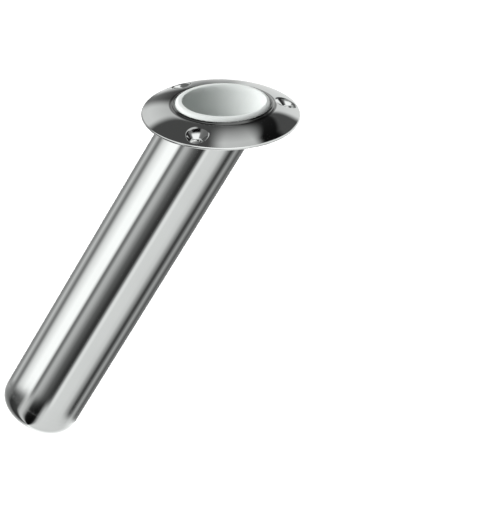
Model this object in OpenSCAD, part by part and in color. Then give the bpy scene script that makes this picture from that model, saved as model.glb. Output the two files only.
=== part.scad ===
// Flush-mount fishing rod holder: a domed deck flange, a leaning closed tube and a soft liner.
// The origin is the centre of the flange's underside, which lies on the deck at z = 0.
// +Z points up out of the deck. The tube leans towards -X on its way down.

/* [Tube] */
// Outside diameter of the tube
tube_d = 50.8; // [48:0.1:52]
// Wall thickness of the tube and of its end cap
tube_wall = 1.5; // [1.2:0.1:2]
// Angle between the tube and the deck's normal
tube_angle = 30; // [0:15:30]
// Distance along the tube's centre line from the deck to the lowest point of the cap
tube_depth = 241.3; // [150:0.1:300]
// Height above the deck where the tube's centre line crosses the flange's centre line
pivot_h = 6; // [4:0.5:7]
// Height above the deck of the tube's level-cut top end
tube_top = 4.4; // [3.5:0.1:4.6]

/* [End cap] */
// Radius of the cap's rounded edge
knuckle_r = 12; // [6:0.5:14]
// Radius of the cap's shallow crown
crown_r = 60; // [45:1:90]
// Straight part of the cap above its rounded edge
cap_skirt = 4; // [2:0.5:10]
// Width of the weld between the tube and the cap
cap_weld_w = 1.2; // [0.8:0.1:2]

/* [Flange] */
// Outside diameter of the flange
flange_d = 94; // [90:1:100]
// Radius of the fully rounded rim
rim_r = 1.1; // [0.8:0.1:1.5]
// Height of the dome's flat top
dome_h = 7; // [6.5:0.1:7.4]
// Radius where the dome starts to curve down
dome_top_r = 28.9; // [27:0.1:31]
// Thickness of the casting over its hollow underside
flange_wall = 3; // [2:0.1:3.5]
// Width of the flat ring under the rim that rests on the deck
rim_land = 5; // [4:0.5:8]
// Thickness of the hub round the tube
hub_wall = 3.4; // [3.4:0.1:4.5]
// Height of the raised collar round the mouth
collar_h = 8; // [7.6:0.1:8.6]
// Width of the collar's metal ring outside the lip
collar_w = 2.2; // [1.6:0.1:2.8]
// Rounding of the collar's top edge
collar_round = 0.9; // [0.4:0.1:1.2]
// Leg of the fillet weld between the flange and the tube
weld_leg = 3.2; // [2:0.1:3.2]

/* [Screw holes] */
// Number of screw holes
hole_count = 3; // [3:1:3]
// Diameter of the circle through the holes
hole_pcd = 82; // [79:0.5:83]
// Diameter of the through holes
hole_d = 6.8; // [5.5:0.1:7]
// Diameter of the countersinks where they meet the dome
countersink_d = 12.8; // [11.5:0.1:13.6]
// Radius of the solid boss round each hole
boss_r = 7.4; // [7:0.1:8]

/* [Liner] */
// Outside diameter of the liner's tube
liner_d = 46.4; // [45.6:0.1:46.8]
// Wall thickness of the liner
liner_wall = 2.5; // [2:0.1:3]
// Radial gap between the liner and the flange
liner_gap = 0.15; // [0.1:0.05:0.3]
// How far the lip reaches past the liner's tube at the two ends of the mouth
lip_reach_end = 1.5; // [1.5:0.1:2.5]
// How far the lip reaches past the liner's tube at the two sides of the mouth
lip_reach_side = 2.7; // [1.5:0.1:3]
// Height above the deck of the seat under the lip
lip_seat = 6.9; // [6.6:0.1:7.2]
// Height above the deck of the top of the lip
lip_top = 9.6; // [9.2:0.1:10.4]
// Rounding of the lip's outer edge
lip_round = 1.5; // [0.8:0.1:2]
// Width of the flare at the liner's mouth
flare_w = 1.3; // [0.6:0.1:1.6]
// Depth of the flare at the liner's mouth
flare_h = 2.4; // [1.5:0.1:3]

/* [Gimbal pin] */
// Diameter of the cross pin
pin_d = 8; // [6:0.5:10]
// Distance from the lowest point of the cap up to the pin's axis
pin_rise = 30; // [26:1:45]
// Thickness of the plug weld over each end of the pin
plug_h = 0.8; // [0.4:0.1:1]
// Gap between the pin and the lower end of the liner
liner_clear = 3; // [1:0.5:8]

/* [Hidden] */
$fn = 180;

// Points on an ellipse that is one of a hull's layers
layer_points = 48;
// Layers that make a rounded edge
round_layers = 4;
// The least overlap, and the thickness of a hull's thin layer
eps = 0.01;
// How far a cut or a join runs past the surface it crosses
over = 1;
// Further than any cut near the deck has to reach
far = 100;

tube_r = tube_d / 2;
tube_ir = tube_r - tube_wall;
flange_r = flange_d / 2;
liner_r = liner_d / 2;
bore_r = liner_r - liner_wall;
passage_r = liner_r + liner_gap;

// Places along the tube's centre line, measured down from the point where it crosses the flange's
deck_s = pivot_h / cos(tube_angle);
tip_s = deck_s + tube_depth;
cap_h = crown_r - sqrt(pow(crown_r - knuckle_r, 2) - pow(tube_r - knuckle_r, 2));
cap_s = tip_s - cap_h - cap_skirt;
tube_end_s = cap_s - cap_weld_w;
pin_s = tip_s - pin_rise;
liner_end_s = pin_s - pin_d / 2 - liner_clear;

// The dome's arc is tangent to its flat top and to the rounded rim
arc_run = flange_r - rim_r - dome_top_r;
arc_rise = dome_h - rim_r;
dome_arc_r = (pow(arc_run, 2) + pow(arc_rise, 2) - pow(rim_r, 2)) / (2 * (arc_rise - rim_r));
arc_z = dome_h - dome_arc_r;
tangent_angle = atan2(rim_r - arc_z, arc_run);
tangent_r = dome_top_r + dome_arc_r * cos(tangent_angle);
tangent_z = arc_z + dome_arc_r * sin(tangent_angle);

// Height of the dome's surface at the screw holes
hole_z = arc_z + sqrt(pow(dome_arc_r, 2) - pow(hole_pcd / 2 - dome_top_r, 2));

// The mouth is an ellipse, because the round liner leans through a level opening
mouth_x = axis_x(collar_h);
lip_rx = liner_r / cos(tube_angle) + lip_reach_end;
lip_ry = liner_r + lip_reach_side;
pocket_gap = 0.25;

steel = "silver";
weld_steel = "darkgray";
pvc = "gainsboro";

// Where the tube's centre line is at height z
function axis_x(z) = (z - pivot_h) * tan(tube_angle);

// An ellipse of half-widths rx and ry
function ellipse(rx, ry) = [
    for (i = [0 : layer_points - 1])
        let (a = 360 * i / layer_points) [rx * cos(a), ry * sin(a)]
];

// Puts children in the tube's own frame: +Z out of the mouth, origin where the centre lines cross
module along_tube() {
    translate([0, 0, pivot_h])
        rotate([0, tube_angle, 0])
            children();
}

// A round bar on the tube's centre line, from s_top down to s_end
module tube_bar(r, s_top, s_end) {
    along_tube()
        translate([0, 0, -s_end])
            cylinder(r = r, h = s_end - s_top);
}

// Everything above the level z
module above(z) {
    translate([-far, -far, z])
        cube([2 * far, 2 * far, 2 * far]);
}

// An elliptical block with vertical sides, from z_low to z_high
module ellipse_block(rx, ry, z_low, z_high) {
    translate([mouth_x, 0, z_low])
        linear_extrude(z_high - z_low)
            polygon(ellipse(rx, ry));
}

// The same block with its top edge rounded
module rounded_block(rx, ry, z_low, z_high, edge_r) {
    hull() {
        ellipse_block(rx, ry, z_low, z_high - edge_r);
        for (i = [1 : round_layers]) {
            a = 90 * i / round_layers;
            inset = edge_r * (1 - cos(a));
            z = z_high - edge_r * (1 - sin(a));
            ellipse_block(rx - inset, ry - inset, z - eps, z);
        }
    }
}

// Half the dome's section, with its arc moved inwards by inset
module dome_profile(inset) {
    square([dome_top_r, dome_h - inset]);
    intersection() {
        translate([dome_top_r, arc_z])
            circle(dome_arc_r - inset);
        polygon([
            [dome_top_r, 0],
            [flange_r - rim_r, 0],
            [flange_r - rim_r, rim_r],
            [tangent_r, tangent_z],
            [tangent_r, dome_h],
            [dome_top_r, dome_h]
        ]);
    }
}

module dome() {
    rotate_extrude()
        union() {
            dome_profile(0);
            translate([flange_r - rim_r, rim_r])
                circle(rim_r);
        }
}

// The hollow under the casting, inside the ring that rests on the deck
module dome_hollow() {
    translate([0, 0, -eps])
        rotate_extrude()
            intersection() {
                dome_profile(flange_wall);
                square([flange_r - rim_land, dome_h]);
            }
}

module at_holes() {
    for (i = [0 : hole_count - 1])
        rotate([0, 0, 360 * i / hole_count])
            translate([hole_pcd / 2, 0, 0])
                children();
}

// A through hole with a 90 degree countersink
module screw_hole() {
    sink_r = countersink_d / 2;
    rise = 4;
    translate([0, 0, -over])
        cylinder(d = hole_d, h = dome_h + 2 * over);
    translate([0, 0, hole_z - sink_r])
        cylinder(r1 = 0, r2 = sink_r + rise, h = sink_r + rise);
}

module flange_casting() {
    difference() {
        dome();
        dome_hollow();
    }
    intersection() {
        dome();
        union() {
            tube_bar(tube_r + hub_wall, -far, far);
            at_holes()
                cylinder(r = boss_r, h = dome_h);
        }
    }
    rounded_block(lip_rx + collar_w, lip_ry + collar_w, dome_h - over, collar_h, collar_round);
}

module flange() {
    color(steel)
        difference() {
            flange_casting();
            difference() {
                tube_bar(tube_r, -far, far);
                above(tube_top);
            }
            tube_bar(passage_r, -far, far);
            ellipse_block(lip_rx + pocket_gap, lip_ry + pocket_gap, lip_seat, collar_h + over);
            at_holes()
                screw_hole();
        }
}

module flange_weld() {
    color(weld_steel)
        difference() {
            hull() {
                translate([axis_x(0), 0, -eps])
                    linear_extrude(eps)
                        polygon(ellipse(tube_r / cos(tube_angle) + weld_leg, tube_r + weld_leg));
                translate([axis_x(-weld_leg), 0, -weld_leg])
                    linear_extrude(eps)
                        polygon(ellipse((tube_r + eps) / cos(tube_angle) + eps, tube_r + 2 * eps));
            }
            tube_bar(tube_r, -far, far);
        }
}

module tube() {
    color(steel)
        difference() {
            tube_bar(tube_r, -far, tube_end_s);
            tube_bar(tube_ir, -far - over, tube_end_s + over);
            above(tube_top);
            along_tube()
                translate([-tube_d, 0, -pin_s])
                    rotate([0, 90, 0])
                        cylinder(d = pin_d, h = 2 * tube_d);
        }
}

module gimbal_pin() {
    pin_l = tube_d - 2 * plug_h;
    color(steel)
        along_tube()
            translate([-pin_l / 2, 0, -pin_s])
                rotate([0, 90, 0])
                    cylinder(d = pin_d, h = pin_l);
}

// Two plugs that fill the holes in the tube's wall over the ends of the pin
module pin_welds() {
    pin_l = tube_d - 2 * plug_h;
    color(weld_steel)
        intersection() {
            tube_bar(tube_r, pin_s - pin_d, pin_s + pin_d);
            for (side = [0, 180])
                along_tube()
                    rotate([0, 0, side])
                        translate([pin_l / 2, 0, -pin_s])
                            rotate([0, 90, 0])
                                cylinder(d = pin_d, h = pin_d);
        }
}

module cap_weld() {
    color(weld_steel)
        difference() {
            tube_bar(tube_r, tube_end_s, cap_s);
            tube_bar(tube_ir, tube_end_s - over, cap_s + over);
        }
}

// Half the cap's section below its straight part, moved inwards by inset
module dished_profile(inset) {
    knuckle_x = tube_r - knuckle_r;
    crown_z = crown_r - cap_h;
    lean = asin(knuckle_x / (crown_r - knuckle_r));
    reach = 1.5 * knuckle_r;
    intersection() {
        union() {
            translate([knuckle_x, 0])
                circle(knuckle_r - inset);
            intersection() {
                translate([0, crown_z])
                    circle(crown_r - inset);
                polygon([
                    [0, 0],
                    [knuckle_x, 0],
                    [knuckle_x + reach * sin(lean), -reach * cos(lean)],
                    [0, -reach * cos(lean)]
                ]);
            }
        }
        translate([0, -2 * cap_h])
            square([tube_r, 2 * cap_h]);
    }
}

module end_cap() {
    color(steel)
        along_tube()
            translate([0, 0, cap_h - tip_s])
                rotate_extrude()
                    difference() {
                        union() {
                            dished_profile(0);
                            square([tube_r, cap_skirt]);
                        }
                        dished_profile(tube_wall);
                        square([tube_ir, cap_skirt + over]);
                    }
}

module liner() {
    color(pvc)
        difference() {
            union() {
                difference() {
                    tube_bar(liner_r, -far, liner_end_s);
                    above(lip_seat + eps);
                }
                rounded_block(lip_rx, lip_ry, lip_seat, lip_top, lip_round);
            }
            tube_bar(bore_r, -far, liner_end_s + over);
            mouth_flare();
        }
}

// The cut that opens the liner's mouth. It starts just inside the bore, so it leaves no step.
module mouth_flare() {
    bore_rx = bore_r / cos(tube_angle);
    z_low = lip_top - flare_h;
    inset = 0.1;
    hull() {
        translate([axis_x(lip_top), 0, lip_top])
            linear_extrude(over)
                polygon(ellipse(bore_rx + flare_w, bore_r + flare_w));
        translate([axis_x(z_low), 0, z_low])
            linear_extrude(eps)
                polygon(ellipse(bore_rx - inset, bore_r - inset));
    }
}

flange();
flange_weld();
tube();
gimbal_pin();
pin_welds();
cap_weld();
end_cap();
liner();
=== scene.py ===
"""Looks for a flush-mount fishing rod holder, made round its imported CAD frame.

The flange, its weld, the end cap and the liner are replaced by finer meshes of the same shape,
with the soft edges of a polished casting, a weld bead, a pressing and a plastic moulding. The
tube, the cross pin and the flush welds keep their CAD meshes and get a polished steel material.
Lengths in the shape code are in millimetres, and Shell.piece() turns them into metres.
"""

import math

import bpy
import numpy as np
from mathutils import Matrix, Vector
from mathutils.geometry import delaunay_2d_cdt


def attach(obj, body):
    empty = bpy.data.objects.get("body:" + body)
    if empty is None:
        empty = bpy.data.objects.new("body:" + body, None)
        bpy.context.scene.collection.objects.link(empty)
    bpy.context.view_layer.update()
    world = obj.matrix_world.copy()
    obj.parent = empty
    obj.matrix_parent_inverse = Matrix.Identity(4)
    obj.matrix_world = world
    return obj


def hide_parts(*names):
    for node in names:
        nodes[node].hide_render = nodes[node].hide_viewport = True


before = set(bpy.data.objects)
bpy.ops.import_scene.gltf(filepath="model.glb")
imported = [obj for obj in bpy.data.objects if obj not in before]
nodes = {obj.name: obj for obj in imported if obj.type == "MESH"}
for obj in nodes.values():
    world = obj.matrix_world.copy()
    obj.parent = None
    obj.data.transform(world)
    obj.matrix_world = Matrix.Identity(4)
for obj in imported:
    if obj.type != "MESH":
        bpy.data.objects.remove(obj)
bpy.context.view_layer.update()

# ---------------------------------------------------------------------------------------------
# Sizes, as in the CAD model, in millimetres
# ---------------------------------------------------------------------------------------------

TUBE_R = 25.4
TUBE_ANGLE = math.radians(30)
PIVOT_H = 6.0
TUBE_TOP = 4.4

FLANGE_R = 47.0
RIM_R = 1.1
DOME_H = 7.0
DOME_TOP_R = 28.9
ARC_R = 33.6
ARC_Z = DOME_H - ARC_R
FLANGE_WALL = 3.0
LAND_R = 42.0
HUB_R = TUBE_R + 3.4
COLLAR_H = 8.0
COLLAR_W = 2.2
POCKET_GAP = 0.25
PASSAGE_R = 23.35

HOLE_PCD_R = 41.0
HOLE_R = 3.4
SINK_R = 6.4
BOSS_R = 7.4
HOLE_Z = ARC_Z + math.sqrt(ARC_R**2 - (HOLE_PCD_R - DOME_TOP_R) ** 2)
HOLES = [
    (HOLE_PCD_R * math.cos(a), HOLE_PCD_R * math.sin(a))
    for a in (0, 2 * math.pi / 3, 4 * math.pi / 3)
]

# The cap's lowest point, measured down the tube's centre line from where it crosses Z
TUBE_DEPTH = 241.3
CAP_TIP = PIVOT_H / math.cos(TUBE_ANGLE) + TUBE_DEPTH
CAP_KNUCKLE_R = 12.0
CAP_CROWN_R = 60.0
CAP_SKIRT = 4.0
CAP_WALL = 1.5

LINER_R = 23.2
BORE_R = 20.7
LINER_END = 211.2
LIP_RX = 28.29
LIP_RY = 25.9
LIP_SEAT = 6.9
LIP_TOP = 9.6

WELD_LEG = 3.2

# Soft edges that the CAD model leaves out
COLLAR_FOOT_ROUND = 1.2
COLLAR_EDGE_ROUND = 1.6
SINK_EDGE_ROUND = 0.6
SINK_BOTTOM_ROUND = 1.5
SINK_DISH = 0.02
CAST_ROUND = 1.2
CAST_DRAFT = 2.0
POCKET_ROUND = 0.25

# Where the dome's arc turns into the rim's: its angle round the rim, and its radius
RIM_TANGENT = math.atan2(RIM_R - ARC_Z, FLANGE_R - RIM_R - DOME_TOP_R)
RIM_START_R = FLANGE_R - RIM_R + RIM_R * math.cos(RIM_TANGENT)

# Points in a ring, and in a ring round a screw hole
RING_POINTS = 360
PATCH_POINTS = 120
# Width of the bands that keep the shading flat up to a sharp edge
TIP = 0.05
# Rings along a countersink's outline, measured out from it, and the gap to stitch round the last
SINK_EDGE_STEPS = (-0.3, -0.2, -0.1, 0.0, 0.1, 0.2, 0.3, 0.4)
TOP_GAP = 0.22
# The same on the underside, measured out from the hole's wall
UNDER_STEPS = (0.2, 0.6)
UNDER_GAP = 0.3

LEAN = math.tan(TUBE_ANGLE)
STRETCH = 1 / math.cos(TUBE_ANGLE)
DOWN_TUBE = Vector((-math.sin(TUBE_ANGLE), 0, -math.cos(TUBE_ANGLE)))


def axis_x(z):
    """Where the tube's centre line is at height z."""
    return (z - PIVOT_H) * LEAN


MOUTH_X = axis_x(COLLAR_H)

# ---------------------------------------------------------------------------------------------
# Mesh building
# ---------------------------------------------------------------------------------------------


class Shell:
    """Collects rings of points and the faces between them. A point may bring its own normal."""

    def __init__(self):
        self.points = []
        self.normals = []
        self.faces = []

    def add(self, points, normals=None):
        """Adds points, shaped (n, 3), and returns their indices."""
        first = len(self.points)
        self.points.extend(map(tuple, points))
        if normals is None:
            normals = [None] * len(points)
        self.normals.extend(normals)
        return np.arange(first, len(self.points))

    def strip(self, a, b):
        """Joins two closed rings by quads."""
        a_next = np.roll(a, -1)
        b_next = np.roll(b, -1)
        self.faces.extend(zip(a.tolist(), b.tolist(), b_next.tolist(), a_next.tolist()))

    def strips(self, rings):
        """Joins each closed ring to the next by quads."""
        for a, b in zip(rings, rings[1:]):
            self.strip(a, b)

    def fan(self, ring, centre):
        """Closes a ring with triangles that meet at one point."""
        ring = ring.tolist()
        self.faces.extend((a, b, centre) for a, b in zip(ring, ring[1:] + ring[:1]))

    def piece(self, name):
        """Makes the Blender object, in metres, without the points that no face uses."""
        used = sorted({i for face in self.faces for i in face})
        renumber = {old: new for new, old in enumerate(used)}
        points = [tuple(c * 0.001 for c in self.points[i]) for i in used]
        faces = [tuple(renumber[i] for i in face) for face in self.faces]
        mesh = bpy.data.meshes.new(name)
        mesh.from_pydata(points, [], faces)
        mesh.shade_smooth()
        if any(n is not None for n in self.normals):
            own = [Vector(v.vector) for v in mesh.vertex_normals]
            for new, old in enumerate(used):
                if self.normals[old] is not None:
                    own[new] = Vector(self.normals[old]).normalized()
            mesh.normals_split_custom_set_from_vertices(own)
        obj = bpy.data.objects.new(name, mesh)
        bpy.context.scene.collection.objects.link(obj)
        return obj


def turn_angles(count):
    """Evenly spaced angles of one full turn."""
    return np.linspace(0, 2 * math.pi, count, endpoint=False)


def ellipse(rx, ry, centre_x, z, count=RING_POINTS):
    """A level ring of points."""
    a = turn_angles(count)
    return np.column_stack([centre_x + rx * np.cos(a), ry * np.sin(a), np.full(count, z)])


def tube_ring(radius, z, count=RING_POINTS):
    """The level section, at height z, of a cylinder on the tube's centre line."""
    return ellipse(radius * STRETCH, radius, axis_x(z), z, count)


def between(a, b, share):
    """a where share is 0 and b where it is 1."""
    return a * (1 - share) + b * share


def smooth_min(a, b, size):
    """The lower of two heights, with their crossing rounded."""
    return np.minimum(a, b) - np.maximum(size - np.abs(a - b), 0) ** 2 / (4 * size)


def ellipse_inset(x, y, rx, ry, centre_x):
    """How far the ellipse shrinks to pass through a point; outside points give a minus value."""
    inset = np.zeros_like(x)
    for _ in range(8):
        a = rx - inset
        b = ry - inset
        miss = ((x - centre_x) / a) ** 2 + (y / b) ** 2 - 1
        slope = 2 * (x - centre_x) ** 2 / a**3 + 2 * y**2 / b**3
        inset = inset - miss / slope
    return inset


def surface_normals(height, x, y, side):
    """Normals of a height field. side is 1 for a top surface and -1 for an underside."""
    step = 0.01
    dx = (height(x + step, y) - height(x - step, y)) / (2 * step)
    dy = (height(x, y + step) - height(x, y - step)) / (2 * step)
    return np.column_stack([-dx * side, -dy * side, np.full_like(x, side)])


# ---------------------------------------------------------------------------------------------
# Flange
# ---------------------------------------------------------------------------------------------


def dome_z(r, inset=0.0):
    """Height of the dome's flat top and of the arc that runs down from it."""
    run = np.maximum(r - DOME_TOP_R, 0)
    return ARC_Z + np.sqrt((ARC_R - inset) ** 2 - run**2)


def collar_rise(inset, rise):
    """The collar's height over the dome: a hollow foot and a rounded edge that meet on a slope."""
    turn = np.arccos(np.clip(1 - rise / (COLLAR_FOOT_ROUND + COLLAR_EDGE_ROUND), 0, 1))
    join = COLLAR_EDGE_ROUND * (1 - np.sin(turn))
    foot = join - COLLAR_FOOT_ROUND * np.sin(turn)
    edge_run = np.clip(COLLAR_EDGE_ROUND - inset, 0, COLLAR_EDGE_ROUND)
    foot_run = np.clip(inset - foot, 0, COLLAR_FOOT_ROUND)
    edge = rise - COLLAR_EDGE_ROUND + np.sqrt(COLLAR_EDGE_ROUND**2 - edge_run**2)
    hollow = COLLAR_FOOT_ROUND - np.sqrt(COLLAR_FOOT_ROUND**2 - foot_run**2)
    return np.where(inset > join, edge, hollow)


def plain_top_z(x, y):
    """Height of the flange's top without its countersinks."""
    dome = dome_z(np.hypot(x, y))
    inset = ellipse_inset(x, y, LIP_RX + COLLAR_W, LIP_RY + COLLAR_W, MOUTH_X)
    return dome + collar_rise(inset, COLLAR_H - dome)


def sink_z(radius):
    """Height of a countersink at a distance from its axis: a 90 degree cone, dished a little."""
    out = radius - SINK_R
    return HOLE_Z + out - SINK_DISH * np.minimum(out, SINK_R) ** 2


def top_z(x, y):
    """Height of the flange's top with its countersinks."""
    z = plain_top_z(x, y)
    for hole_x, hole_y in HOLES:
        z = smooth_min(z, sink_z(np.hypot(x - hole_x, y - hole_y)), SINK_EDGE_ROUND)
    return z


def under_z(x, y):
    """Height of the hollow underside, which is 0 at the outer ring, the bosses and the hub."""
    r = np.hypot(x, y)
    z = dome_z(r, FLANGE_WALL)
    hub = -ellipse_inset(x, y, HUB_R * STRETCH, HUB_R, axis_x(0))
    gaps = [LAND_R - r, hub]
    for hole_x, hole_y in HOLES:
        gaps.append(np.hypot(x - hole_x, y - hole_y) - BOSS_R)
    for gap in gaps:
        z = smooth_min(z, CAST_DRAFT * gap, CAST_ROUND)
    return -smooth_min(-z, 0 * z, CAST_ROUND / 3)


def sink_outline(hole_x, hole_y):
    """For each angle round a hole, how far from its axis the countersink meets the dome."""
    a = turn_angles(PATCH_POINTS)
    near = np.full(PATCH_POINTS, HOLE_R)
    far = np.full(PATCH_POINTS, 12.0)
    for _ in range(40):
        middle = (near + far) / 2
        x = hole_x + middle * np.cos(a)
        y = hole_y + middle * np.sin(a)
        inside = sink_z(middle) < plain_top_z(x, y)
        near = np.where(inside, middle, near)
        far = np.where(inside, far, middle)
    return near


def polar_ring(hole_x, hole_y, radius):
    """Points at a radius, or at one radius for each point, round a hole's axis."""
    a = turn_angles(PATCH_POINTS)
    return hole_x + radius * np.cos(a), hole_y + radius * np.sin(a)


def field_ring(shell, x, y, height, side):
    """Adds a ring that lies on a height field, with the field's own normals."""
    points = np.column_stack([x, y, height(x, y)])
    return shell.add(points, surface_normals(height, x, y, side))


def field_with_holes(shell, rings, limits, patch_rings, side):
    """Faces of a height field on a grid of rings, opened and stitched round each hole.

    limits gives the radius round each hole inside which the grid is left out, for each angle, and
    patch_rings the indices of the ring of points that the opening is stitched to.
    """
    grid = np.array(rings)
    xy = np.array([p[:2] for p in shell.points])
    count = grid.shape[1]
    dropped = np.full(grid.shape, -1)
    for k, (hole_x, hole_y) in enumerate(HOLES):
        d = xy[grid] - (hole_x, hole_y)
        turn = np.mod(np.arctan2(d[..., 1], d[..., 0]), 2 * math.pi) / (2 * math.pi)
        limit = limits[k][np.round(turn * PATCH_POINTS).astype(int) % PATCH_POINTS]
        dropped[np.hypot(d[..., 0], d[..., 1]) < limit] = k
    openings = [[] for _ in HOLES]
    for i in range(grid.shape[0] - 1):
        for j in range(count):
            j_next = (j + 1) % count
            corners = [(i, j), (i + 1, j), (i + 1, j_next), (i, j_next)]
            face = tuple(int(grid[c]) for c in corners)
            inside = [dropped[c] for c in corners if dropped[c] >= 0]
            if inside:
                openings[inside[0]].append(face)
            else:
                shell.faces.append(face)
    for opening, patch_ring in zip(openings, patch_rings):
        stitch(shell, opening, patch_ring, side)


def enclosed(point, starts, ends):
    """Whether a flat point lies inside an odd number of the loops that the edges make."""
    crossed = (starts[:, 1] > point[1]) != (ends[:, 1] > point[1])
    a = starts[crossed]
    b = ends[crossed]
    x = a[:, 0] + (point[1] - a[:, 1]) * (b[:, 0] - a[:, 0]) / (b[:, 1] - a[:, 1])
    return np.count_nonzero(x > point[0]) % 2 == 1


def stitch(shell, opening, patch_ring, side):
    """Fills the ring between the grid's opening and the patch round one hole with triangles."""
    edges = set()
    for face in opening:
        for a, b in zip(face, face[1:] + face[:1]):
            if (b, a) in edges:
                edges.remove((b, a))
            else:
                edges.add((a, b))
    ring = patch_ring.tolist()
    ring_edges = list(zip(ring, ring[1:] + ring[:1]))
    names = sorted({i for edge in edges for i in edge} | set(ring))
    place = {name: n for n, name in enumerate(names)}
    flat = [Vector(shell.points[i][:2]) for i in names]
    borders = [(place[a], place[b]) for a, b in sorted(edges) + ring_edges]
    starts = np.array([flat[a] for a, _b in borders])
    ends = np.array([flat[b] for _a, b in borders])
    whole_hull = 0
    merge_distance = 1e-6
    result = delaunay_2d_cdt(flat, borders, [], whole_hull, merge_distance, True)
    triangles, origins = result[2], result[3]
    for triangle in triangles:
        corners = [origins[v][0] for v in triangle]
        centre = np.mean([flat[c] for c in corners], axis=0)
        if enclosed(centre, starts, ends):
            face = [names[c] for c in corners]
            shell.faces.append(tuple(face if side > 0 else reversed(face)))


def hole_bottom_profile():
    """Radius, height and normal down a hole's wall, from the countersink to the underside."""
    corner_z = sink_z(HOLE_R)
    start_z = corner_z - SINK_BOTTOM_ROUND * math.tan(math.pi / 8)
    rows = []
    for share in np.linspace(0, 1, 10)[1:]:
        a = math.pi / 4 * (1 - share)
        r = HOLE_R + SINK_BOTTOM_ROUND * (1 - math.cos(a))
        z = start_z + SINK_BOTTOM_ROUND * math.sin(a)
        rows.append((r, z, (-math.cos(a), math.sin(a))))
    wall_end = 0.2
    ease = 0.06
    rows.append((HOLE_R, wall_end, (-1.0, 0.0)))
    rows.append((HOLE_R + ease, ease, (-0.7, -0.7)))
    return rows


def mouth_wall(shell):
    """Rings up the mouth: the tube's socket, the shoulder over it, the passage and the lip's seat."""
    pocket_rx = LIP_RX + POCKET_GAP
    pocket_ry = LIP_RY + POCKET_GAP
    shoulder_x = axis_x(TUBE_TOP)
    seat_x = axis_x(LIP_SEAT)
    rings = [
        tube_ring(TUBE_R, 0.0),
        tube_ring(TUBE_R, TIP),
        tube_ring(TUBE_R, TUBE_TOP - TIP),
        ellipse(TUBE_R * STRETCH - TIP, TUBE_R - TIP, shoulder_x, TUBE_TOP),
        ellipse(PASSAGE_R * STRETCH + TIP, PASSAGE_R + TIP, shoulder_x, TUBE_TOP),
        tube_ring(PASSAGE_R, TUBE_TOP + TIP),
        tube_ring(PASSAGE_R, LIP_SEAT - TIP),
        ellipse(PASSAGE_R * STRETCH + TIP, PASSAGE_R + TIP, seat_x, LIP_SEAT),
        ellipse(pocket_rx - TIP, pocket_ry - TIP, MOUTH_X, LIP_SEAT),
        ellipse(pocket_rx, pocket_ry, MOUTH_X, LIP_SEAT + TIP),
    ]
    for a in np.linspace(0, math.pi / 2, 5):
        grow = POCKET_ROUND * (1 - math.cos(a))
        z = COLLAR_H - POCKET_ROUND * (1 - math.sin(a))
        rings.append(ellipse(pocket_rx + grow, pocket_ry + grow, MOUTH_X, z))
    wall = [shell.add(ring) for ring in rings]
    shell.strips(wall)
    return wall


def top_grid(shell, mouth_edge):
    """Rings of the top, which follow the collar and then blend into circles at the rim."""
    collar_rx = LIP_RX + COLLAR_W
    collar_ry = LIP_RY + COLLAR_W
    crest_inset = COLLAR_W - POCKET_GAP - POCKET_ROUND - TIP
    foot_inset = -0.7
    insets = [crest_inset, 1.3] + list(np.arange(1.0, foot_inset, -0.07)) + [foot_inset]
    flat_rings = [ellipse(collar_rx - i, collar_ry - i, MOUTH_X, 0) for i in insets]
    edge = ellipse(RIM_START_R, RIM_START_R, 0, 0)
    foot = flat_rings[-1]
    flat_rings += [between(foot, edge, share) for share in np.linspace(0, 1, 40)[1:]]
    return [mouth_edge] + [field_ring(shell, r[:, 0], r[:, 1], top_z, 1) for r in flat_rings]


def rim_edge(shell, top_edge):
    """Builds the rounded rim and gives the ring where it meets the underside."""
    a = turn_angles(RING_POINTS)
    rings = [top_edge]
    for turn in np.linspace(RIM_TANGENT, -math.pi / 2, 16)[1:]:
        r = FLANGE_R - RIM_R + RIM_R * math.cos(turn)
        z = RIM_R + RIM_R * math.sin(turn)
        out = math.cos(turn)
        up = np.full(len(a), math.sin(turn))
        normals = np.column_stack([out * np.cos(a), out * np.sin(a), up])
        rings.append(shell.add(ellipse(r, r, 0, z), normals))
    shell.strips(rings)
    return rings[-1]


def under_grid(shell, outer_edge, socket_edge):
    """Rings of the underside, from the rim to the tube's socket."""
    land = ellipse(FLANGE_R - RIM_R, FLANGE_R - RIM_R, 0, 0)
    hub = tube_ring(TUBE_R, 0)
    rings = [outer_edge]
    for share in np.linspace(0, 1, 70)[1:-1]:
        ring = between(land, hub, share)
        rings.append(field_ring(shell, ring[:, 0], ring[:, 1], under_z, -1))
    return rings + [socket_edge]


def screw_hole(shell, hole_x, hole_y, outline):
    """One hole from the dome to the underside. Gives its outermost ring on each of them."""
    sink_bottom = HOLE_R + SINK_BOTTOM_ROUND * (1 - math.cos(math.pi / 4))
    sink_top = outline - SINK_EDGE_STEPS[-1]
    radii = [between(sink_bottom, sink_top, share) for share in np.linspace(0, 1, 9)]
    radii += [outline + step for step in SINK_EDGE_STEPS]
    rings = []
    for radius in radii:
        x, y = polar_ring(hole_x, hole_y, radius)
        rings.append(field_ring(shell, x, y, top_z, 1))
    shell.strips(rings)

    down = [rings[0]]
    turn = turn_angles(PATCH_POINTS)
    for r, z, (out, up) in hole_bottom_profile():
        x, y = polar_ring(hole_x, hole_y, r)
        normals = np.column_stack([out * np.cos(turn), out * np.sin(turn), np.full_like(turn, up)])
        down.append(shell.add(np.column_stack([x, y, np.full_like(x, z)]), normals))
    for step in UNDER_STEPS:
        x, y = polar_ring(hole_x, hole_y, HOLE_R + step)
        down.append(field_ring(shell, x, y, under_z, -1))
    shell.strips(down[::-1])
    return rings[-1], down[-1]


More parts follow.
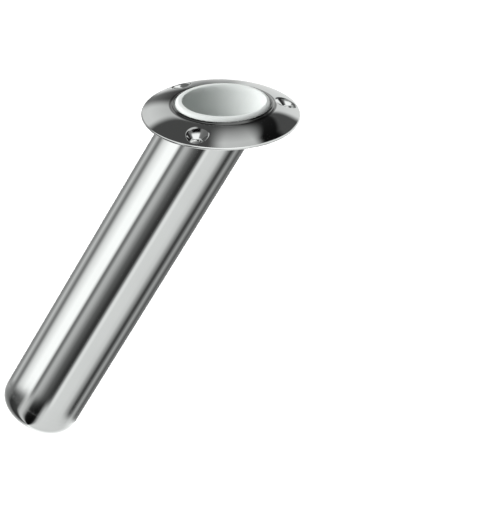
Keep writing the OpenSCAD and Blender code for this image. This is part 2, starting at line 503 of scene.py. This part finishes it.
def make_flange():
    """The polished casting: its mouth, domed top, rim, hollow underside and screw holes."""
    shell = Shell()
    wall = mouth_wall(shell)
    top_rings = top_grid(shell, wall[-1])
    outer_edge = rim_edge(shell, top_rings[-1])
    under_rings = under_grid(shell, outer_edge, wall[0])

    outlines = [sink_outline(x, y) for x, y in HOLES]
    patches = [screw_hole(shell, x, y, outline) for (x, y), outline in zip(HOLES, outlines)]
    top_patches, under_patches = zip(*patches)
    top_limits = [outline + SINK_EDGE_STEPS[-1] + TOP_GAP for outline in outlines]
    under_limit = np.full(PATCH_POINTS, HOLE_R + UNDER_STEPS[-1] + UNDER_GAP)
    field_with_holes(shell, top_rings, top_limits, top_patches, 1)
    field_with_holes(shell, under_rings, [under_limit] * len(HOLES), under_patches, -1)
    return shell.piece("flange_cast")


# ---------------------------------------------------------------------------------------------
# Weld under the flange
# ---------------------------------------------------------------------------------------------


def make_flange_weld():
    """A fillet bead round the tube, with the overlapping ripples of a hand-laid TIG weld."""
    shell = Shell()
    count = 900
    turn = turn_angles(count)
    ripples = 96
    rows = 22
    side_leg = WELD_LEG - 0.25
    down_leg = WELD_LEG - 0.2
    hollow = 0.25
    ripple_h = 0.16
    slant = 0.7
    wander = 0.12 * np.sin(5 * turn + 1) + 0.08 * np.sin(11 * turn)
    rings = []
    for share in np.linspace(0, 1, rows):
        across = math.sin(math.pi * share)
        # Each ripple is a crescent: it trails behind at the bead's edges
        phase = ripples * turn + 1.9 * (2 * share - 1) ** 2
        wave = np.abs(np.sin(phase / 2)) ** 0.6
        sink = slant * across * (hollow - ripple_h * wave)
        out = (side_leg + wander) * (1 - share) - sink
        z = sink - (down_leg + wander) * share
        radius = TUBE_R + np.maximum(out, 0.01)
        x = axis_x(z) + radius * STRETCH * np.cos(turn)
        y = radius * np.sin(turn)
        rings.append(shell.add(np.column_stack([x, y, z])))
    inner_low = shell.add(tube_ring(TUBE_R, -down_leg, count))
    inner_high = shell.add(tube_ring(TUBE_R, 0.0, count))
    shell.strips([inner_high] + rings + [inner_low, inner_high])
    return shell.piece("flange_weld_bead")


# ---------------------------------------------------------------------------------------------
# End cap and liner
# ---------------------------------------------------------------------------------------------


def square_ring(radius, station, count=RING_POINTS):
    """A ring square to the tube, a distance down its centre line from where it crosses Z."""
    turn = turn_angles(count)
    cross = np.array([math.cos(TUBE_ANGLE), 0, -math.sin(TUBE_ANGLE)])
    centre = np.array([0, 0, PIVOT_H]) + station * np.array(DOWN_TUBE)
    side = np.array([0, 1.0, 0])
    return centre + radius * (np.outer(np.cos(turn), cross) + np.outer(np.sin(turn), side))


def cap_profile(inset):
    """Radius and station down one side of the cap: its skirt, rounded edge and shallow crown."""
    knuckle_x = TUBE_R - CAP_KNUCKLE_R
    crown_station = CAP_TIP - CAP_CROWN_R
    arcs_r = CAP_CROWN_R - CAP_KNUCKLE_R
    lean = math.asin(knuckle_x / arcs_r)
    knuckle_station = crown_station + arcs_r * math.cos(lean)
    top = knuckle_station - CAP_SKIRT
    skirt_stations = (top, top + TIP, knuckle_station - CAP_SKIRT / 2)
    rows = [(TUBE_R - inset, station) for station in skirt_stations]
    for a in np.linspace(math.pi / 2, lean, 24):
        r = CAP_KNUCKLE_R - inset
        rows.append((knuckle_x + r * math.sin(a), knuckle_station + r * math.cos(a)))
    for a in np.linspace(lean, 0, 16)[1:-1]:
        r = CAP_CROWN_R - inset
        rows.append((r * math.sin(a), crown_station + r * math.cos(a)))
    return rows


def make_end_cap():
    """The pressed cap: a rounded edge of constant wall round a shallow crown."""
    shell = Shell()
    outside = [shell.add(square_ring(r, station)) for r, station in cap_profile(0.0)]
    inside = [shell.add(square_ring(r, station)) for r, station in cap_profile(CAP_WALL)]
    shell.strips(inside[::-1] + outside)
    outer_tip = shell.add(square_ring(0.0, CAP_TIP, 1))
    inner_tip = shell.add(square_ring(0.0, CAP_TIP - CAP_WALL, 1))
    shell.fan(outside[-1][::-1], int(outer_tip[0]))
    shell.fan(inside[-1], int(inner_tip[0]))
    return shell.piece("end_cap_pressing")


def liner_end(wall_r, side):
    """Rings round the liner's lower edge. side is 1 for the bore and -1 for the outer wall."""
    end_round = 0.6
    rings = []
    for a in np.linspace(0, 1, 7) * (math.pi / 2):
        radius = wall_r + side * end_round * (1 - math.sin(a))
        rings.append(square_ring(radius, LINER_END - end_round * (1 - math.cos(a))))
    return rings


def lip_rings():
    """Rings under the lip, round its outer edge, over its top and into its trumpet mouth."""
    seat_gap = 0.25
    seat_step = 0.4
    edge_low = 0.4
    edge_high = 2.5
    flare_h = 3.6
    flare_w = 1.6
    rings = [tube_ring(LINER_R, LIP_SEAT - seat_step), tube_ring(LINER_R + seat_gap, LIP_SEAT)]
    for a in np.linspace(-math.pi / 2, 0, 6):
        inset = edge_low * (1 - math.cos(a))
        z = LIP_SEAT + edge_low * (1 + math.sin(a))
        rings.append(ellipse(LIP_RX - inset, LIP_RY - inset, MOUTH_X, z))
    for a in np.linspace(0, math.pi / 2, 14):
        inset = edge_high * (1 - math.cos(a))
        z = LIP_TOP - edge_high * (1 - math.sin(a))
        rings.append(ellipse(LIP_RX - inset, LIP_RY - inset, MOUTH_X, z))

    flare_top = ellipse(BORE_R * STRETCH + flare_w, BORE_R + flare_w, axis_x(LIP_TOP), LIP_TOP)
    rings.append(between(rings[-1], flare_top, 0.5))
    for a in np.linspace(0, math.pi / 2, 16):
        z = LIP_TOP - flare_h * (1 - math.cos(a))
        grow = flare_w * (1 - math.sin(a))
        rings.append(ellipse(BORE_R * STRETCH + grow, BORE_R + grow, axis_x(z), z))
    rings.append(tube_ring(BORE_R, LIP_TOP - flare_h - 0.5))
    return rings


def make_liner():
    """The moulded liner: a tube with a soft flat lip that rolls over into its bore."""
    shell = Shell()
    stations = np.linspace(45, 205, 17)
    outer_wall = [square_ring(LINER_R, station) for station in stations[::-1]]
    bore = [square_ring(BORE_R, station) for station in stations]
    outer_end = liner_end(LINER_R, -1)[::-1]
    bore_end = liner_end(BORE_R, 1)[::-1]
    rings = outer_end + outer_wall + lip_rings() + bore + bore_end
    indices = [shell.add(ring) for ring in rings]
    # The first and last rings meet at the liner's lower end
    indices.append(indices[0])
    shell.strips(indices[::-1])
    return shell.piece("liner_moulding")


# ---------------------------------------------------------------------------------------------
# Materials
# ---------------------------------------------------------------------------------------------


STEEL_CLEAN = (0.755, 0.765, 0.762, 1)
STEEL_HAZED = (0.70, 0.708, 0.705, 1)
# Near-black steel for the painted shade round the collar
STEEL_PAINTED_SHADE = (0.22, 0.222, 0.22, 1)
WELD_GREY = (0.62, 0.60, 0.56, 1)
WELD_STRAW = (0.60, 0.53, 0.42, 1)
WELD_BLUE = (0.40, 0.43, 0.50, 1)
PVC_DARK = (0.67, 0.70, 0.685, 1)
PVC_LIGHT = (0.70, 0.73, 0.715, 1)
PVC_SCUFFED = (0.66, 0.69, 0.68, 1)
PAPER_DARK = (0.93, 0.93, 0.93, 1)
PAPER_LIGHT = (0.96, 0.96, 0.96, 1)
WHITE = (1, 1, 1, 1)

# Scales of the polishing marks, per metre: across the lines, down the flange's depth, and along
MARKS_ACROSS = 1500.0
MARKS_DEPTH = 700.0
MARKS_ALONG = 26.0


class Nodes:
    """Short names for making shader nodes."""

    def __init__(self, tree):
        self.tree = tree
        tree.nodes.clear()

    def node(self, kind, **settings):
        node = self.tree.nodes.new(kind)
        for name, value in settings.items():
            setattr(node, name, value)
        return node

    def put(self, socket, value):
        if isinstance(value, bpy.types.NodeSocket):
            self.tree.links.new(value, socket)
        else:
            socket.default_value = value

    def math(self, operation, a, b=0.0, c=0.0, clamp=False):
        node = self.node("ShaderNodeMath", operation=operation, use_clamp=clamp)
        for socket, value in zip(node.inputs, (a, b, c)):
            self.put(socket, value)
        return node.outputs[0]

    def vector(self, operation, a, b=(0.0, 0.0, 0.0)):
        node = self.node("ShaderNodeVectorMath", operation=operation)
        self.put(node.inputs[0], a)
        self.put(node.inputs[1], b)
        return node.outputs["Value"] if operation in ("DOT_PRODUCT", "LENGTH") else node.outputs[0]

    def split(self, where):
        """The x, y and z of a vector."""
        node = self.node("ShaderNodeSeparateXYZ")
        self.put(node.inputs[0], where)
        return node.outputs[0], node.outputs[1], node.outputs[2]

    def flat_length(self, x, y):
        """The length of the flat vector (x, y)."""
        squares = self.math("ADD", self.math("MULTIPLY", x, x), self.math("MULTIPLY", y, y))
        return self.math("SQRT", squares)

    def smooth(self, value, low, high, to_low=0.0, to_high=1.0):
        """A smooth step from to_low, where value is low, to to_high."""
        node = self.node("ShaderNodeMapRange", interpolation_type="SMOOTHSTEP")
        for socket, entry in zip(node.inputs, (value, low, high, to_low, to_high)):
            self.put(socket, entry)
        return node.outputs[0]

    def ramp(self, value, low, high):
        """Rises evenly from 0 at low to 1 at high."""
        node = self.node("ShaderNodeMapRange")
        for socket, entry in zip(node.inputs, (value, low, high)):
            self.put(socket, entry)
        return node.outputs[0]

    def mix(self, share, a, b):
        """a where share is 0 and b where it is 1."""
        node = self.node("ShaderNodeMix", data_type="FLOAT")
        self.put(node.inputs[0], share)
        self.put(node.inputs[2], a)
        self.put(node.inputs[3], b)
        return node.outputs[0]

    def mix_colour(self, share, a, b):
        node = self.node("ShaderNodeMix", data_type="RGBA")
        self.put(node.inputs[0], share)
        self.put(node.inputs[6], a)
        self.put(node.inputs[7], b)
        return node.outputs[2]

    def grey_ramp(self, value, stops):
        """Levels along value, from (position, level) stops; positions run from 0 to 1."""
        node = self.node("ShaderNodeValToRGB")
        elements = node.color_ramp.elements
        elements[0].position, level = stops[0]
        elements[0].color = (level, level, level, 1)
        elements[1].position, level = stops[-1]
        elements[1].color = (level, level, level, 1)
        for position, level in stops[1:-1]:
            elements.new(position).color = (level, level, level, 1)
        self.put(node.inputs[0], value)
        return node.outputs[0]

    def noise(self, where, scale, detail=3.0, roughness=0.5, distortion=0.0):
        node = self.node("ShaderNodeTexNoise")
        self.put(node.inputs["Vector"], where)
        self.put(node.inputs["Scale"], scale)
        self.put(node.inputs["Detail"], detail)
        self.put(node.inputs["Roughness"], roughness)
        self.put(node.inputs["Distortion"], distortion)
        return node.outputs[0]

    def upright(self, where):
        """Coordinates turned so that the tube stands along z."""
        node = self.node("ShaderNodeMapping")
        self.put(node.inputs["Vector"], where)
        self.put(node.inputs["Rotation"], (0.0, -TUBE_ANGLE, 0.0))
        return node.outputs[0]

    def bump(self, height, distance):
        node = self.node("ShaderNodeBump")
        self.put(node.inputs["Height"], height)
        self.put(node.inputs["Distance"], distance)
        self.put(node.inputs["Strength"], 1.0)
        return node.outputs[0]

    def background(self, colour, strength):
        node = self.node("ShaderNodeBackground")
        self.put(node.inputs["Color"], colour)
        self.put(node.inputs["Strength"], strength)
        return node.outputs[0]

    def mix_shader(self, share, a, b):
        """a where share is 0 and b where it is 1."""
        node = self.node("ShaderNodeMixShader")
        for socket, value in zip(node.inputs, (share, a, b)):
            self.put(socket, value)
        return node.outputs[0]


def new_material(name):
    """A material, its nodes, its shader, and the place on the object in metres."""
    material = bpy.data.materials.new(name)
    material.use_nodes = True
    n = Nodes(material.node_tree)
    out = n.node("ShaderNodeOutputMaterial")
    shader = n.node("ShaderNodeBsdfPrincipled")
    n.put(out.inputs["Surface"], shader.outputs[0])
    place = n.node("ShaderNodeTexCoord").outputs["Object"]
    return material, n, shader, place


def polished_steel(name, marks, mark_bump, shade=None):
    """Mirror-polished stainless steel.

    marks(n, place) gives the coordinates that the fine polishing marks follow, and
    shade(n, place) how much painted shade darkens each place.
    """
    material, n, shader, place = new_material(name)
    n.put(shader.inputs["Metallic"], 1.0)
    lines = n.noise(marks(n, place), 1.0, detail=4.0, roughness=0.65)
    haze = n.noise(place, 38.0, detail=4.0, roughness=0.6)
    smudge = n.smooth(n.noise(place, 14.0, detail=2.0, distortion=0.8), 0.56, 0.72)
    fleck = n.smooth(n.noise(place, 900.0, detail=2.0), 0.70, 0.78)

    rough = n.math("MULTIPLY_ADD", lines, 0.03, 0.02)
    rough = n.math("MULTIPLY_ADD", haze, 0.02, rough)
    rough = n.math("MULTIPLY_ADD", smudge, 0.035, rough)
    rough = n.math("MULTIPLY_ADD", fleck, 0.05, rough)
    n.put(shader.inputs["Roughness"], rough)

    colour = n.mix_colour(n.math("ADD", haze, smudge, clamp=True), STEEL_CLEAN, STEEL_HAZED)
    # Painted shade: the base colour darkens where shade(n, place) is high
    if shade:
        colour = n.mix_colour(shade(n, place), colour, STEEL_PAINTED_SHADE)
    n.put(shader.inputs["Base Color"], colour)
    n.put(shader.inputs["Normal"], n.bump(lines, mark_bump))
    return material


def marks_along_tube(n, place):
    """Fine lines that run down the tube."""
    return n.vector("MULTIPLY", n.upright(place), (MARKS_ACROSS, MARKS_ACROSS, MARKS_ALONG))


def marks_round_flange(n, place):
    """Fine rings round the flange's centre, as left by a polishing wheel."""
    x, y, z = n.split(place)
    depth = n.math("MULTIPLY", z, MARKS_DEPTH)
    join = n.node("ShaderNodeCombineXYZ")
    n.put(join.inputs[0], n.math("MULTIPLY", n.flat_length(x, y), MARKS_ACROSS))
    n.put(join.inputs[1], n.math("MULTIPLY", x, MARKS_ALONG))
    n.put(join.inputs[2], n.math("ADD", n.math("MULTIPLY", y, MARKS_ALONG), depth))
    return join.outputs[0]


def marks_plain(n, place):
    """Marks with no direction, for parts that are hardly seen."""
    return n.vector("MULTIPLY", place, (900.0, 900.0, 900.0))


def painted_shade_round_collar(n, place):
    """Painted shade: a dark ring on the collar's side and foot, round the lip."""
    collar_rx = LIP_RX + COLLAR_W
    collar_ry = LIP_RY + COLLAR_W
    x, y, z = n.split(place)
    across = n.math("MULTIPLY_ADD", x, 1000 / collar_rx, -MOUTH_X / collar_rx)
    aside = n.math("MULTIPLY", y, 1000 / collar_ry)
    # 1 on the collar's outer ellipse
    out = n.flat_length(across, aside)
    inner = n.smooth(out, 0.93, 0.95)
    outer = n.smooth(out, 1.03, 1.06, 1.0, 0.0)
    top = n.smooth(z, 0.005, 0.006)
    return n.math("MULTIPLY", n.math("MULTIPLY", inner, outer), top)


def weld_metal():
    """Bare weld bead: duller steel with a straw and blue heat tint."""
    material, n, shader, place = new_material("weld_metal")
    n.put(shader.inputs["Metallic"], 1.0)
    cloud = n.noise(place, 60.0, detail=4.0, roughness=0.6)
    grain = n.noise(place, 1400.0, detail=3.0)
    _x, _y, height = n.split(place)
    toe = n.smooth(height, -0.0032, -0.0018, 1.0, 0.0)
    blued = n.math("MULTIPLY", toe, n.smooth(cloud, 0.4, 0.65))
    straw = n.mix_colour(n.smooth(cloud, 0.35, 0.7), WELD_GREY, WELD_STRAW)
    tint = n.mix_colour(blued, straw, WELD_BLUE)
    n.put(shader.inputs["Base Color"], tint)
    n.put(shader.inputs["Roughness"], n.math("MULTIPLY_ADD", cloud, 0.2, 0.2))
    n.put(shader.inputs["Normal"], n.bump(grain, 0.00003))
    return material


def liner_pvc():
    """Satin moulded plastic with a faint mould texture and scuffs from rod butts."""
    material, n, shader, place = new_material("liner_pvc")
    cloud = n.noise(place, 45.0, detail=3.0)
    grain = n.noise(place, 2600.0, detail=2.0)
    along_bore = n.vector("MULTIPLY", n.upright(place), (420.0, 420.0, 22.0))
    scuff = n.smooth(n.noise(along_bore, 1.0, detail=3.0), 0.6, 0.75)
    pale = n.mix_colour(cloud, PVC_DARK, PVC_LIGHT)
    rough = n.math("MULTIPLY_ADD", scuff, 0.15, n.math("MULTIPLY_ADD", cloud, 0.1, 0.38))
    height = n.math("ADD", grain, n.math("MULTIPLY", scuff, -0.8))
    n.put(shader.inputs["Base Color"], n.mix_colour(n.math("MULTIPLY", scuff, 0.35), pale, PVC_SCUFFED))
    n.put(shader.inputs["Roughness"], rough)
    n.put(shader.inputs["Normal"], n.bump(height, 0.00003))
    return material


def floor_paper():
    """Matt white paper with a faint tooth."""
    material, n, shader, place = new_material("floor_paper")
    tooth = n.noise(place, 60.0, detail=3.0)
    n.put(shader.inputs["Base Color"], n.mix_colour(tooth, PAPER_DARK, PAPER_LIGHT))
    n.put(shader.inputs["Roughness"], 0.9)
    n.put(shader.inputs["Specular IOR Level"], 0.0)
    n.put(shader.inputs["Emission Color"], WHITE)
    n.put(shader.inputs["Emission Strength"], 0.2)
    return material


# ---------------------------------------------------------------------------------------------
# Studio
# ---------------------------------------------------------------------------------------------

CAMERA_TARGET = Vector((0.01944, 0.0, -0.10489))
CAMERA_DISTANCE = 0.879
CAMERA_AZIMUTH = math.radians(-11.71)
CAMERA_ELEVATION = math.radians(31.60)
CAMERA_ROLL = math.radians(1.18)
CAMERA_LENS = 94.86

# What the tube mirrors, by longitude round its axis: 0 faces the camera and plus is to its right.
# (longitude, level), read from the left edge to the right edge.
TUBE_LIGHTS = [
    (-180, 0.22), (-140, 0.23), (-120, 0.52), (-104, 0.17), (-98, 0.22), (-90, 0.52), (-83, 0.72),
    (-60, 1.02), (-41, 1.03), (-36, 0.75), (-31, 0.17), (-27, 0.17), (-19, 0.45), (-12, 0.41),
    (-3, 0.23), (5, 0.11), (19, 0.035), (25, 0.035), (30, 0.24), (34, 0.70), (38, 0.77), (44, 0.66),
    (66, 0.65), (79, 0.58), (88, 0.34), (101, 0.055), (107, 0.055), (121, 0.34), (136, 0.11),
    (142, 0.10), (150, 0.15), (180, 0.22),
]

# What the end cap mirrors, which lies closer to the tube's own direction
CAP_LIGHTS = [
    (-180, 0.93), (-170, 0.60), (-140, 0.33), (-118, 0.21), (-98, 0.14), (-88, 0.05), (-80, 0.03),
    (-60, 0.04), (-50, 0.05), (-43, 0.30), (-36, 0.54), (-28, 0.50), (-20, 0.25), (-14, 0.02),
    (-8, 0.005), (6, 0.003), (13, 0.01), (19, 0.26), (24, 0.58), (32, 0.66), (110, 0.60), (135, 0.77),
    (155, 0.95), (180, 0.93),
]

# What the flange mirrors, by the bearing and the tilt of the steel that shows it. Bearing 0 is +X.
# Each edge between two cards runs out from the collar to the rim, so it has a pair of bearings,
# a pair of widths and a pair of levels for the card after it: (at the collar, at the rim).
LEVEL_TILT = 1.5
COLLAR_TILT = 4
RIM_TILT = 27
FIRST_CARD = (0.45, 0.60)
FLANGE_EDGES = [
    # dark drape at the left of the front
    ((-163, -164), (16, 10), (0.06, 0.06)),
    # light card in front
    ((-103, -104), (26, 14), (0.12, 0.52)),
    # black flag, which swings round towards the rim
    ((-60, -70), (34, 10), (0.012, 0.005)),
    # dark grey flag beside it
    ((-27, -48), (6, 9), (0.06, 0.065)),
    # white card on the right
    ((-22, -22), (8, 9), (0.60, 0.66)),
    # greyer behind
    ((56, 50), (24, 40), (0.30, 0.60)),
    ((95, 90), (30, 30), (0.19, 0.62)),
    # dark gap at the back left
    ((137, 146), (12, 14), (0.045, 0.14)),
    # back to the first card
    ((167, 164), (16, 16), (0.45, 0.60)),
]
LEVEL_STEEL = 0.07

# What the countersinks and the rounded rim mirror, by the same bearing. Each pair of tilts is
# where one set of lights gives way to the next. The sink's floor is its steeper lower part.
SINK_TILT = (39, 43)
SINK_BACK_LIGHTS = [
    (-52, 0.02), (-40, 0.02), (-32, 0.85), (20, 0.90), (60, 0.60), (150, 0.55), (170, 0.15),
    (180, 0.12),
]
SINK_LIGHTS = [
    (-180, 0.12), (-140, 0.14), (-125, 0.18), (-116, 0.004), (-84, 0.004), (-76, 0.15),
    (-62, 0.15), *SINK_BACK_LIGHTS,
]
SINK_FLOOR_TILT = (45.3, 46.7)
SINK_FLOOR_LIGHTS = [
    (-180, 0.12), (-140, 0.14), (-126, 0.20), (-118, 0.95), (-76, 0.95), (-66, 0.15),
    *SINK_BACK_LIGHTS,
]
RIM_EDGE_TILT = (48.5, 50.5)
RIM_LIGHTS = [
    (-180, 0.22), (-160, 0.28), (-148, 0.70), (-122, 0.75), (-115, 0.95), (-85, 0.95), (-75, 0.75),
    (-20, 0.70), (0, 0.60), (90, 0.60), (150, 0.40), (180, 0.22),
]

# The tube's lights swing a little from its top to its bottom: degrees per unit along the tube
TUBE_SWING = 22
TUBE_MIDDLE = 0.39

# Cosines, from the tube's axis, between which the flange's lights give way to the tube's, and the
# tube's to the cap's
TUBE_ZONE = (0.20, 0.29)
CAP_ZONE = (0.511, 0.516)

# Brightness of the mirrored cards and their faint tint, and of the light on dull surfaces: all
# round, and more on the side of the key light
MIRROR_LIGHT = 1.3
MIRROR_TINT = (0.985, 1.0, 0.99)
SOFT_LIGHT = 0.04
KEY_LIGHT = 2.6
KEY_DIRECTION = Vector((-0.84, 0.26, 0.48)).normalized()
KEY_REACH = 0.95
FLOOR_Z = -1.2
FLOOR_HALF = 12.0


def camera_axes():
    """The camera's right, up and backward directions."""
    az, el, roll = CAMERA_AZIMUTH, CAMERA_ELEVATION, CAMERA_ROLL
    back = Vector((math.sin(az) * math.cos(el), -math.cos(az) * math.cos(el), math.sin(el)))
    level = Vector((math.cos(az), math.sin(az), 0))
    up = back.cross(level)
    right = math.cos(roll) * level + math.sin(roll) * up
    return right, back.cross(right), back


def add_camera():
    """A camera at the photograph's viewing angle."""
    data = bpy.data.cameras.new("camera")
    data.lens = CAMERA_LENS
    data.sensor_width = 36
    data.clip_start = 0.01
    data.clip_end = 100
    camera = bpy.data.objects.new("camera", data)
    bpy.context.scene.collection.objects.link(camera)
    right, up, back = camera_axes()
    turn = Matrix((right, up, back)).transposed().to_4x4()
    camera.matrix_world = Matrix.Translation(CAMERA_TARGET + CAMERA_DISTANCE * back) @ turn
    bpy.context.scene.camera = camera


def ring_levels(n, degrees, lights):
    """Levels round a full turn, from (degrees, level) stops between -180 and 180."""
    turn = n.math("MULTIPLY_ADD", degrees, 1 / 360, 0.5)
    return n.grey_ramp(turn, [((place + 180) / 360, level) for place, level in lights])


def card_levels(n, bearing, share):
    """The flange's cards. Everything slides from its value at the collar to the one at the rim."""

    def slide(pair):
        return n.math("MULTIPLY_ADD", share, pair[1] - pair[0], pair[0])

    level = slide(FIRST_CARD)
    for edge, width, after in FLANGE_EDGES:
        place = slide(edge)
        half = n.math("MULTIPLY", slide(width), 0.5)
        passed = n.smooth(bearing, n.math("SUBTRACT", place, half), n.math("ADD", place, half))
        level = n.mix(passed, level, slide(after))
    return level


def flange_levels(n, direction):
    """What steel on the flange mirrors from a direction, when it is seen by the camera."""
    to_camera = (CAMERA_TARGET + CAMERA_DISTANCE * camera_axes()[2]).normalized()
    half_way = n.vector("NORMALIZE", n.vector("ADD", direction, tuple(to_camera)))
    x, y, z = n.split(half_way)
    bearing = n.math("DEGREES", n.math("ARCTAN2", y, x))
    tilt = n.math("DEGREES", n.math("ARCCOSINE", z))

    level = card_levels(n, bearing, n.ramp(tilt, COLLAR_TILT, RIM_TILT))
    level = n.mix(n.smooth(tilt, 0, LEVEL_TILT), LEVEL_STEEL, level)
    zones = (
        (SINK_TILT, SINK_LIGHTS),
        (SINK_FLOOR_TILT, SINK_FLOOR_LIGHTS),
        (RIM_EDGE_TILT, RIM_LIGHTS),
    )
    for tilts, lights in zones:
        level = n.mix(n.smooth(tilt, *tilts), level, ring_levels(n, bearing, lights))
    return level


def mirrored_levels(n, direction):
    """What the steel mirrors from a direction, by longitude and latitude about the tube's axis."""
    towards = CAMERA_DISTANCE * camera_axes()[2]
    front = (towards - towards.dot(DOWN_TUBE) * DOWN_TUBE).normalized()
    right = front.cross(DOWN_TUBE)
    ahead = n.vector("DOT_PRODUCT", direction, tuple(front))
    aside = n.vector("DOT_PRODUCT", direction, tuple(right))
    along = n.vector("DOT_PRODUCT", direction, tuple(DOWN_TUBE))
    turn = n.math("DEGREES", n.math("ARCTAN2", aside, ahead))
    swing = n.math("MULTIPLY", n.math("SUBTRACT", along, TUBE_MIDDLE), ahead)
    swung = n.math("MULTIPLY_ADD", swing, TUBE_SWING, turn)

    level = flange_levels(n, direction)
    level = n.mix(n.smooth(along, *TUBE_ZONE), level, ring_levels(n, swung, TUBE_LIGHTS))
    return n.mix(n.smooth(along, *CAP_ZONE), level, ring_levels(n, turn, CAP_LIGHTS))


def add_world():
    """Plain white light for the eye and for dull surfaces, and a studio of cards for the mirrors."""
    world = bpy.data.worlds.new("studio")
    bpy.context.scene.world = world
    world.use_nodes = True
    world.cycles.sampling_method = "NONE"
    n = Nodes(world.node_tree)
    direction = n.node("ShaderNodeTexCoord").outputs["Generated"]

    tint = n.vector("SCALE", MIRROR_TINT)
    n.put(tint.node.inputs["Scale"], mirrored_levels(n, direction))
    key_side = n.vector("DOT_PRODUCT", direction, tuple(KEY_DIRECTION))
    soft = n.smooth(key_side, 0.0, KEY_REACH, SOFT_LIGHT, SOFT_LIGHT + KEY_LIGHT)

    path = n.node("ShaderNodeLightPath").outputs
    mirrored = n.background(tint, MIRROR_LIGHT)
    unseen = n.mix_shader(path["Is Glossy Ray"], n.background(WHITE, soft), mirrored)
    surface = n.mix_shader(path["Is Camera Ray"], unseen, n.background(WHITE, 1.0))
    out = n.node("ShaderNodeOutputWorld")
    n.put(out.inputs["Surface"], surface)


def add_floor():
    """A plain pale floor that the steel doesn't mirror."""
    mesh = bpy.data.meshes.new("floor")
    signs = ((-1, -1), (1, -1), (1, 1), (-1, 1))
    corners = [(x * FLOOR_HALF, y * FLOOR_HALF, FLOOR_Z) for x, y in signs]
    mesh.from_pydata(corners, [], [(0, 1, 2, 3)])
    mesh.materials.append(floor_paper())
    floor = bpy.data.objects.new("floor", mesh)
    bpy.context.scene.collection.objects.link(floor)
    floor.visible_glossy = False


# ---------------------------------------------------------------------------------------------
# Putting it together
# ---------------------------------------------------------------------------------------------


def dress(obj, material):
    """Gives a new piece its material."""
    obj.data.materials.clear()
    obj.data.materials.append(material)


def dress_cad(node, material):
    """Gives a CAD node a better material and keeps its mesh."""
    for slot in nodes[node].material_slots:
        slot.material = material


def stand_in(obj, node, material):
    """Puts a new piece in place of a CAD node."""
    dress(obj, material)
    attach(obj, "root")
    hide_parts(node)


# The flange's steel is darkened round the collar by painted shade
# The last number is the height of the polishing marks, in metres
flange_steel = polished_steel("flange_steel", marks_round_flange, 1.2e-6, painted_shade_round_collar)
tube_steel = polished_steel("tube_steel", marks_along_tube, 0.6e-6)
plain_steel = polished_steel("plain_steel", marks_plain, 2e-6)

stand_in(make_flange(), "flange", flange_steel)
stand_in(make_flange_weld(), "flange_weld", weld_metal())
stand_in(make_liner(), "liner", liner_pvc())
stand_in(make_end_cap(), "end_cap", tube_steel)

dress_cad("tube", tube_steel)
for node in ("gimbal_pin", "pin_welds", "cap_weld"):
    dress_cad(node, plain_steel)

add_camera()
add_world()
add_floor()
bpy.context.scene.view_settings.view_transform = "Standard"
